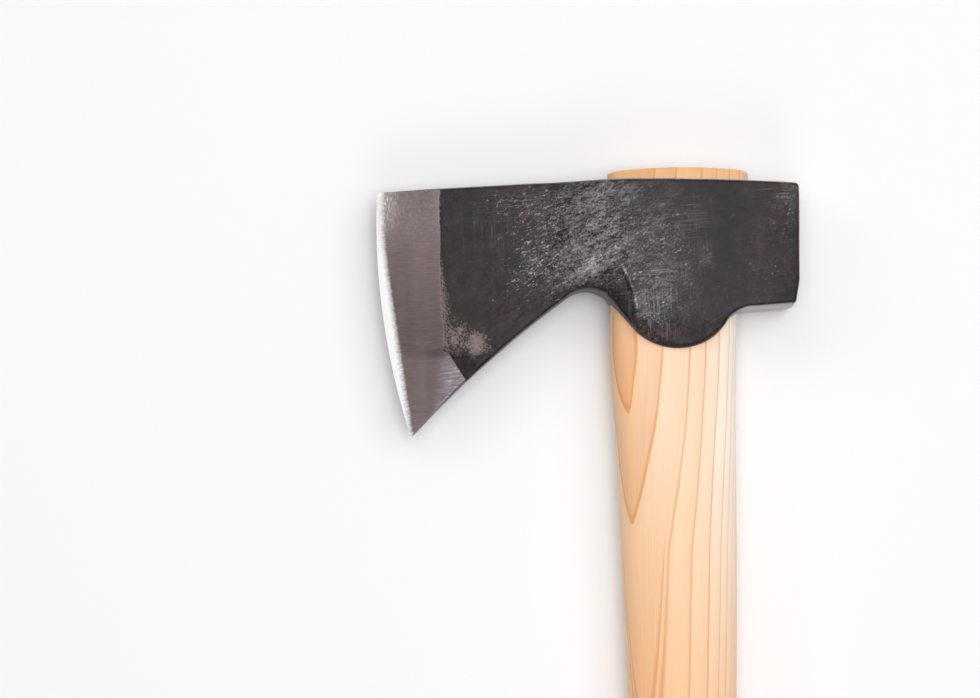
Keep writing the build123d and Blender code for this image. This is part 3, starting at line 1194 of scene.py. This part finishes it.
@dataclass(frozen=True)
class ForgedSteelFinish:
    """Steel with dark forge scale, scuffed high spots with some painted light and shade, a ground bevel and a
    honed edge.
    """

    scale_tint: Colour = (1.05, 0.56, 0.62)
    scale_grey: Colour = (1.05, 0.63, 0.75)
    rubbed_grey: Colour = (0.98, 0.90, 0.95)
    fleck: Colour = (0.30, 0.285, 0.295)
    bare: Colour = (0.125, 0.096, 0.094)
    facet: Colour = (0.148, 0.129, 0.146)
    facet_streak: Colour = (0.25, 0.225, 0.25)
    scour: Colour = (0.088, 0.068, 0.064)
    toe_scratch: Colour = (0.5, 0.47, 0.46)
    honed: Colour = (0.97, 0.97, 0.97)
    worn_edge: Colour = (0.36, 0.20, 0.13)
    top_edge: Colour = (0.34, 0.31, 0.31)
    side_dark: Colour = (0.020, 0.0165, 0.017)
    side_light: Colour = (0.060, 0.053, 0.056)
    poll_dark: Colour = (0.14, 0.123, 0.131)
    poll_light: Colour = (0.39, 0.35, 0.37)
    scale_gloss: float = 0.16
    relief: float = 0.11

    def make(self) -> bpy.types.Material:
        """Builds the material."""
        desk = Desk("forged_steel")
        bare, honed, steel, lines = self.ground_steel(desk)
        scale, metal, peel = self.forge_scale(desk)
        desk.set(
            Base_Color=desk.mix(bare, scale, steel),
            Metallic=bare.at_least(metal),
            Roughness=desk.level(bare, desk.level(peel, 0.24, 0.56), desk.level(honed, 0.42, 0.2)),
            Specular_IOR_Level=self.scale_gloss,
        )
        scale_relief = peel * desk.reading("worn").ramp((0.0, 0.3), (0.4, 1.0))
        desk.bump(desk.level(bare, scale_relief, lines * 0.10), self.relief)
        return desk.material

    def ground_steel(self, desk: Desk) -> tuple[Signal, Signal, Signal, Signal]:
        """Bevel with its grinding lines, the heel's facet, the scoured patch and the honed band.

        Args:
            desk: the material's bench.

        Returns:
            Shares of bare and of honed steel, the steel's colour and the grinding lines.
        """
        height = desk.run(0.0, 1.0, 0.0)
        grain = desk.noise((1.7, 1.7, 1.7), 3.0, 0.62) - 0.5
        ground = (grain * 0.09 + desk.reading("ground")).ramp((-0.012, 0.0), (0.02, 1.0))
        scoured = (grain * 2.3 + desk.reading("scour")).ramp((0.34, 0.0), (0.5, 0.55), (0.95, 1.0))

        teeth = desk.noise((0.7, 2.6, 1.0), 3.0, 0.6) - 0.5
        honed = (teeth * 1.9 + desk.reading("honed")).ramp((-0.9, 0.0), (-0.1, 0.34), (1.0, 1.0))
        honed = honed * height.ramp((-6.0, 1.0), (12.0, 0.62))

        lines = desk.noise((0.09, 2.1, 1.0), 4.0, 0.7)
        broad = desk.noise((0.16, 0.035, 0.05), 2.0, 0.5)
        lit = height.ramp((-62.0, 0.9), (-44.0, 0.78), (-26.0, 0.74), (-6.0, 0.9), (8.0, 0.94), (17.0, 0.90))
        steel = desk.shaded(desk.shaded(self.bare, lines * 0.8 + (broad * 0.5 + 0.36)), lit)

        strokes = desk.noise((0.30, 1.5, 1.0), 3.0, 0.6, -8.0)
        facet = desk.reading("facet") * strokes.ramp((0.36, 0.35), (0.52, 1.0))
        streaked = desk.mix(strokes.ramp((0.5, 0.0), (0.7, 1.0)), self.facet, self.facet_streak)
        steel = desk.mix(facet, steel, streaked)
        steel = desk.mix(1.0 - ground, steel, self.scour)

        flecked = desk.reading("flecked")
        toe = desk.noise((2.4, 0.8, 1.0), 3.0, 0.7).ramp((0.5, 0.0), (0.68, 1.0)) * flecked
        toe = (flecked * 0.26 + toe) * height.ramp((-4.0, 0.0), (6.0, 0.8))
        steel = desk.mix(toe * ground, steel, self.toe_scratch)
        return ground.at_least(scoured), honed, desk.mix(honed, steel, self.honed), lines

    def forge_scale(self, desk: Desk) -> tuple[Signal, Signal, Signal]:
        """Dark scale, lightened by wear where the forging stands proud, with bare bright grains, the painted
        highlight and shade of the wear reading, and a painted reflection on the poll's side faces.

        Args:
            desk: the material's bench.

        Returns:
            The scale's colour, how much it shines as metal and the height of its orange peel.
        """
        grit = desk.noise((1.9, 1.9, 1.9), 3.0, 0.65)
        mottle = desk.noise((0.22, 0.22, 0.22), 4.0, 0.6)
        strokes = desk.noise((0.15, 0.46, 0.3), 4.0, 0.6, -30.0)
        peel = grit * 0.42 + desk.noise((0.75, 1.5, 0.9), 4.0, 0.62, -28.0) * 0.58
        # The wear reading carries real wear together with a painted highlight and painted shade, and so does
        # the level drawn from it.
        rubbed_and_lit = desk.reading("worn") * ((peel - 0.5) * 5.0 + 1.0 + (strokes - 0.5) * 3.2)
        level = rubbed_and_lit * 0.46 + 0.120 + (mottle - 0.5) * 0.34 + (peel - 0.5) * 0.44
        tint = desk.mix(mottle.ramp((0.45, 0.0), (0.65, 0.6)), self.scale_tint, self.scale_grey)
        tint = desk.mix(rubbed_and_lit.ramp((0.06, 0.0), (0.34, 1.0)), tint, self.rubbed_grey)
        scale = desk.shaded(tint, level.at_least(0.05) ** 2.2)

        streak = desk.noise((0.42, 1.25, 0.8), 5.0, 0.72, -29.0)
        raised = grit * 0.4 + streak * 0.7 - desk.level(desk.reading("flecked"), 0.72, 0.575)
        flecks = raised.ramp((0.0, 0.0), (0.11, 1.0))
        scale = desk.mix(flecks * 0.8, scale, self.fleck)
        for name, cells in (("scratched_along", (0.09, 2.4, 1.0)), ("scratched_up", (2.2, 0.08, 1.0))):
            scratch = desk.noise(cells, 3.0, 0.6, -4.0).ramp((0.52, 0.0), (0.66, 1.0))
            scale = desk.mix(scratch * desk.reading(name), scale, self.fleck)

        facing = Signal(desk, desk.node("NewGeometry").outputs["Normal"])
        upright = abs(desk.run(0.0, 0.0, 1.0, facing))
        side = upright.ramp((0.25, 1.0), (0.75, 0.0))
        patchy = (grit - 0.5) * 0.45 + desk.noise((0.14, 0.14, 0.3), 5.0, 0.6)
        patchy = patchy.ramp((0.32, 0.0), (0.68, 1.0))
        scale = desk.mix(side, scale, desk.mix(patchy, self.side_dark, self.side_light))
        # Painted reflection: the poll's side faces are drawn light grey for the glare of the white table in
        # them, and also made metallic.
        poll_sheen = side * desk.run(1.0, 0.0, 0.0).ramp((15.0, 0.0), (22.0, 1.0))
        scale = desk.mix(poll_sheen, scale, desk.mix(patchy, self.poll_dark, self.poll_light))

        wear = (grit * 0.9 + desk.reading("rim")).ramp((0.45, 1.0), (0.95, 0.0))
        wear = wear * upright.ramp((0.15, 0.0), (0.35, 1.0))
        top = desk.run(-0.02, 1.0, 0.0).ramp((12.0, 0.0), (15.0, 1.0))
        scale = desk.mix(wear * top, scale, self.top_edge)
        bright_rim = desk.run(1.0, 0.55, 0.0).ramp((28.0, 0.0), (36.0, 1.0))
        scale = desk.mix(wear * bright_rim, scale, self.worn_edge)
        return scale, (flecks * 0.5).at_least(poll_sheen), peel * desk.level(poll_sheen, 1.0, 0.35)


RINGS = (
    *(-21.2, -16.6, -12.3, -9.1, -5.05, -4.3, -0.75, 2.75, 5.9, 8.1, 10.3, 12.3, 14.6, 17.0, 19.4),
    *(22.0, 24.6, 27.3, 29.6, 32.4, 35.0, 37.9, 40.5),
)


@dataclass(frozen=True)
class WoodFinish:
    """Oiled ring-porous hardwood with its growth rings cut at a slant."""

    name: str
    lift: float
    ring_normal: tuple[float, float, float] = (0.54, -0.025, -0.84)
    ring_offset: float = 0.0
    spacing: float = 4.4
    sag: float = 1.2
    counted: tuple[float, ...] = ()
    early: Colour = (0.965, 0.695, 0.478)
    late: Colour = (0.72, 0.285, 0.085)
    stub: Colour = (0.86, 0.465, 0.20)
    heart: Colour = (0.90, 0.505, 0.245)
    sap: Colour = (1.0, 0.92, 0.81)
    pore: Colour = (0.42, 0.2, 0.1)
    upper_lean: float = -0.027
    knee: float = -95.0
    heart_lean: float = 0.064
    tip_lean: float = 0.0364
    tip_at: float = -17.28
    gloss: float = 0.45
    relief: float = 0.05

    def make(self) -> bpy.types.Material:
        """Builds the material."""
        desk = Desk(self.name)
        centred = desk.vector("ADD", desk.place, (0.0, 0.0, -self.lift))
        height = desk.run(0.0, 1.0, 0.0)
        layer = self.layers(desk, centred, height)
        ring, part = self.rings(desk, centred, height, layer)

        fibre = desk.noise((2.2, 0.035, 2.2), 4.0, 0.65, 0.0, centred)
        pores = desk.noise((3.2, 0.12, 3.2), 2.0, 0.5, 0.0, centred)
        pore = pores.ramp((0.62, 0.0), (0.72, 1.0)) * part.ramp((0.0, 1.0), (0.5, 0.15), (1.0, 0.5))
        colour = desk.mix(ring * 0.9, self.early_wood(desk, height, layer), self.late)
        colour = desk.shaded(colour, fibre.ramp((0.25, 0.93), (0.75, 1.05)))
        desk.set(
            Base_Color=desk.mix(pore * 0.18, colour, self.pore),
            Roughness=desk.level(fibre, 0.42, 0.58),
            Specular_IOR_Level=self.gloss,
        )
        desk.bump(fibre * 0.5 + pore * -0.6, self.relief)
        return desk.material

    def layers(self, desk: Desk, centred: Signal, height: Signal) -> Signal:
        """Depth of the wood across its growth rings, in millimetres.

        Args:
            desk: the material's bench.
            centred: the place about the mid-plane.
            height: the place along the handle.

        Returns:
            The depth, with the tree's waves, its knee and the drawn-out tips at the front.
        """
        layer = height.at_least(self.knee) * self.upper_lean + desk.run(*self.ring_normal, centred)
        for cells, reach in (((0.03, 0.006, 0.03), 0.9), ((0.16, 0.02, 0.16), 0.5)):
            layer = (desk.noise(cells, 2.0, 0.5, 0.0, centred) - 0.5) * reach + layer
        sag = height.ramp((-142.0, 0.8), (-100.0, 1.0), (-62.0, 0.0)) * self.sag
        layer = sag * layer.ramp((-9.3, 0.0), (-5.3, 1.0), (2.7, 0.0)) + layer
        beside = abs(desk.run(1.0, self.tip_lean, 0.0) - self.tip_at)
        lengths = ((-125.0, 0.0), (-95.0, 0.2), (-70.0, 0.35), (-49.0, 0.6), (-38.0, 0.35), (-30.0, 0.0))
        return layer - beside.ramp((0.0, 1.0), (2.0, 0.35), (5.0, 0.0)) * height.ramp(*lengths)

    def early_wood(self, desk: Desk, height: Signal, layer: Signal) -> Signal:
        """Colour between the rings: heartwood at the front and low down, pale outer wood at the back, whose
        paleness is partly painted light on that side of the handle.

        Args:
            desk: the material's bench.
            height: the place along the handle.
            layer: depth across the rings.

        Returns:
            The colour.
        """
        core = (height * self.heart_lean + layer).ramp((-17.5, 1.0), (-12.6, 0.0), style=RampStyle.EASED)
        early = desk.mix(core, self.early, self.heart)
        # Paler outer wood towards the back, which also stands in for painted light on that side of the
        # handle.
        sapwood_and_light = layer.ramp((-3.0, 0.0), (7.0, 1.0), (10.5, 1.0), (15.0, 0.5), style=RampStyle.EASED)
        early = desk.mix(sapwood_and_light, early, self.sap)
        early = desk.mix(height.ramp((-150.0, 0.78), (-105.0, 0.44), (-62.0, 0.04)), early, self.heart)
        return desk.mix(height.ramp((16.0, 0.0), (22.0, 0.85)), early, self.stub)

    def rings(self, desk: Desk, centred: Signal, height: Signal, layer: Signal) -> tuple[Signal, Signal]:
        """Late wood, drawn as a line at each ring and a soft tail ahead of it.

        Args:
            desk: the material's bench.
            centred: the place about the mid-plane.
            height: the place along the handle.
            layer: depth across the rings.

        Returns:
            Share of late wood, and the part of the way from one ring to the next.
        """
        if self.counted:
            steps = [after - before for before, after in zip(self.counted, self.counted[1:])]
            widths = [(place, step / max(steps)) for place, step in zip(self.counted, steps)]
            spacing = layer.ramp(*widths, (self.counted[-1], 1.0), style=RampStyle.STEPPED) * max(steps)
            last = len(self.counted) - 1
            stops = [(place, ring / last) for ring, place in enumerate(self.counted)]
            count = layer.ramp(*stops) * float(last)
        else:
            spacing = self.spacing
            count = (layer + (self.ring_offset + 400.0 * self.spacing)) / self.spacing
        part = desk.maths("FRACT", count)
        ahead = (1.0 - part) * spacing
        tail = ahead.ramp((0.0, 1.0), (0.8, 0.7), (3.0, 0.0))
        tail = tail * layer.ramp((-12.5, 0.62), (-9.3, 0.56), (-7.0, 0.30), (3.0, 0.22))
        line = ahead.ramp((0.0, 0.9), (0.2, 1.0), (0.42, 0.3), (0.7, 0.0))
        one_line = layer.ramp((-6.0, 1.0), (-5.9, 0.0), (-5.06, 0.0), (-5.0, 1.0))
        line = line * one_line.at_least(height.ramp((-104.0, 1.0), (-84.0, 0.0)))
        strength = desk.noise((0.09, 0.008, 0.09), 2.0, 0.5, 0.0, centred).ramp((0.3, 0.7), (0.65, 1.0))
        fade = layer.ramp((-9.3, 1.0), (-5.0, 0.85), (4.5, 0.8), (9.0, 0.35))
        return tail.at_least(line) * strength * fade, part


@dataclass(frozen=True)
class SpikeFinish:
    """Plain drawn steel, a little dull."""

    tint: Colour = (0.42, 0.41, 0.4)
    relief: float = 0.02

    def make(self) -> bpy.types.Material:
        """Builds the material."""
        desk = Desk("spike_steel")
        grain = desk.noise((1.5, 1.5, 1.5), 4.0, 0.6)
        desk.set(
            Base_Color=desk.shaded(self.tint, grain.ramp((0.3, 0.75), (0.7, 1.1))),
            Roughness=desk.level(grain, 0.35, 0.5),
            Metallic=1.0,
        )
        desk.bump(grain, self.relief)
        return desk.material


def aim(thing: bpy.types.Object, target: Vector) -> None:
    """Turns a lamp or camera to look at a point, its top towards +Y where it looks down."""
    direction = target - thing.location
    thing.rotation_euler = direction.to_track_quat("-Z", "Y").to_euler()


@dataclass(frozen=True)
class SoftLamp:
    """Round soft lamp, placed by its bearing and height above the table."""

    name: str
    bearing: float
    height: float
    distance: float
    size: float
    share: float

    def hang(self, aimed_at: Vector) -> None:
        """Makes the lamp.

        Args:
            aimed_at: the point that it faces and from which its bearing and distance count.
        """
        turn, rise = math.radians(self.bearing), math.radians(self.height)
        towards = Vector((math.cos(turn) * math.cos(rise), math.sin(turn) * math.cos(rise), math.sin(rise)))
        light = bpy.data.lights.new(self.name, "AREA")
        light.shape = "DISK"
        light.size = self.size
        light.energy = self.share * (math.pi * self.distance) ** 2 / math.sin(rise)
        lamp = bpy.data.objects.new(self.name, light)
        lamp.location = aimed_at + towards * self.distance
        bpy.context.scene.collection.objects.link(lamp)
        aim(lamp, aimed_at)


@dataclass
class Studio:
    """White table top, soft lamps and the camera that looks straight down."""

    view_target: Vector = field(default_factory=lambda: Vector((-59.5, -33.6, 14.0)) * MM)
    view_place: Vector = field(default_factory=lambda: Vector((-59.5, -100.0, 1014.0)) * MM)
    lens: float = 115.05
    sensor: float = 36.0
    floor_size: float = 6.0
    floor_colour: Colour = (0.93, 0.93, 0.94)
    world_level: float = 0.2
    seen_level: float = 0.9
    lit_spot: Vector = field(default_factory=lambda: Vector((-30.0, -50.0, 0.0)) * MM)
    floor_gap: float = 0.2 * MM
    lamps: tuple[SoftLamp, ...] = (
        SoftLamp("overhead_lamp", 0.0, 89.0, 1.8, 0.96, 0.40),
        SoftLamp("poll_side_lamp", 25.0, 62.0, 1.6, 1.4, 0.295),
        SoftLamp("top_side_lamp", 112.0, 57.0, 1.6, 1.0, 0.10),
        SoftLamp("grip_side_lamp", 276.0, 42.0, 1.6, 0.8, 0.085),
        SoftLamp("edge_side_lamp", 152.0, 38.0, 1.6, 0.7, 0.05),
    )

    def build(self) -> None:
        """Makes the floor, the world, the lamps and the camera."""
        self.floor()
        self.world()
        for lamp in self.lamps:
            lamp.hang(self.lit_spot)
        self.camera()
        bpy.context.scene.view_settings.view_transform = "Standard"

    def floor(self) -> None:
        """Plain pale table top."""
        bm = bmesh.new()
        bmesh.ops.create_grid(bm, x_segments=1, y_segments=1, size=self.floor_size / 2.0)
        bmesh.ops.translate(bm, verts=bm.verts, vec=(0.0, 0.0, -self.floor_gap))
        floor = new_piece("table_top", bm)
        material = bpy.data.materials.new("table_white")
        material.use_nodes = True
        shader = material.node_tree.nodes["Principled BSDF"]
        shader.inputs["Base Color"].default_value = (*self.floor_colour, 1.0)
        shader.inputs["Roughness"].default_value = 0.9
        shader.inputs["Specular IOR Level"].default_value = 0.1
        floor.data.materials.append(material)

    def world(self) -> None:
        """Dim even light from all round, which shows as white behind the hatchet and in its steel."""
        world = bpy.data.worlds.new("studio")
        bpy.context.scene.world = world
        world.use_nodes = True
        tree = world.node_tree
        background = tree.nodes["Background"]
        background.inputs["Color"].default_value = (1.0, 1.0, 1.0, 1.0)
        rays = tree.nodes.new("ShaderNodeLightPath").outputs
        seen = rays["Is Camera Ray"]
        for ray in ("Is Glossy Ray", "Is Transmission Ray"):
            either = tree.nodes.new("ShaderNodeMath")
            either.operation = "MAXIMUM"
            tree.links.new(seen, either.inputs[0])
            tree.links.new(rays[ray], either.inputs[1])
            seen = either.outputs[0]
        level = tree.nodes.new("ShaderNodeMapRange")
        level.inputs["To Min"].default_value = self.world_level
        level.inputs["To Max"].default_value = self.seen_level
        tree.links.new(seen, level.inputs["Value"])
        tree.links.new(level.outputs["Result"], background.inputs["Strength"])

    def camera(self) -> None:
        """Camera above the head, leaning a little towards the top of the head."""
        data = bpy.data.cameras.new("camera")
        data.lens = self.lens
        data.sensor_width = self.sensor
        data.clip_start = 0.01
        data.clip_end = 50.0
        camera = bpy.data.objects.new("camera", data)
        camera.location = self.view_place
        bpy.context.scene.collection.objects.link(camera)
        aim(camera, self.view_target)
        bpy.context.scene.camera = camera


class Part(Enum):
    """Finished piece, the CAD node it stands for and its material slot."""

    HEAD = ("forged_head", "axe_head", "forged_steel")
    HANDLE = ("hardwood_handle", "handle", "handle_wood")
    WEDGE = ("eye_wedge", "wooden_wedge", "wedge_wood")
    SPIKE = ("eye_spike", "steel_spike", "spike_steel")

    def fit(self, piece: bpy.types.Object, material: bpy.types.Material) -> None:
        """Dresses a piece, ties it to the hatchet and lets it stand for its CAD node."""
        name, node, slot = self.value
        piece.name = name
        piece.data.name = name
        piece.data.materials.clear()
        piece.data.materials.append(material)
        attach(piece, BODY)
        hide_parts(node)
        LOG.info("%s stands for %s with %d faces", name, node, len(piece.data.polygons))


def main() -> None:
    """Builds the hatchet piece by piece and the studio round it."""
    logging.basicConfig(level=logging.INFO, format="%(name)s: %(message)s")
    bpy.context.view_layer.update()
    head_low, head_high = (corner / MM for corner in map(Vector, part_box("axe_head")))
    handle_low, handle_high = (corner / MM for corner in map(Vector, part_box("handle")))
    lift = (head_low.z + head_high.z) / 2.0

    outline = HeadOutline(reach=-head_low.x, poll=head_high.x)
    relief = HeadRelief(outline, (head_high.z - head_low.z) / 2.0)
    form = HandleForm.hung_in(outline, handle_low, handle_high)

    head = ForgedHead(outline, relief, form, lift).build()
    Part.HEAD.fit(head, ForgedSteelFinish().make())

    lock = EyeLock(form)
    handle_maker = Handle(form)
    handle = handle_maker.blank("hardwood_handle")
    carve(handle, lock.slot_tool("slot", True))
    carve(handle, lock.spike("pocket", form.stub_top, lock.pocket_over))
    settle(handle, lift)
    Part.HANDLE.fit(handle, WoodFinish("handle_wood", lift, counted=RINGS).make())

    wedge = handle_maker.blank("eye_wedge", lock.wedge_sunk)
    carve(wedge, lock.slot_tool("slot", False), Cut.SHARED)
    carve(wedge, lock.spike("pocket", form.stub_top, lock.pocket_over))
    settle(wedge, lift)
    upright = WoodFinish(
        "wedge_wood", lift, ring_normal=(0.2, 0.02, 0.98), ring_offset=1.3, spacing=2.6, sag=0.0
    )
    Part.WEDGE.fit(wedge, upright.make())

    spike = lock.spike("eye_spike", form.stub_top - lock.spike_sunk)
    settle(spike, lift)
    Part.SPIKE.fit(spike, SpikeFinish().make())

    Studio().build()


if __name__ == "__main__":
    main()
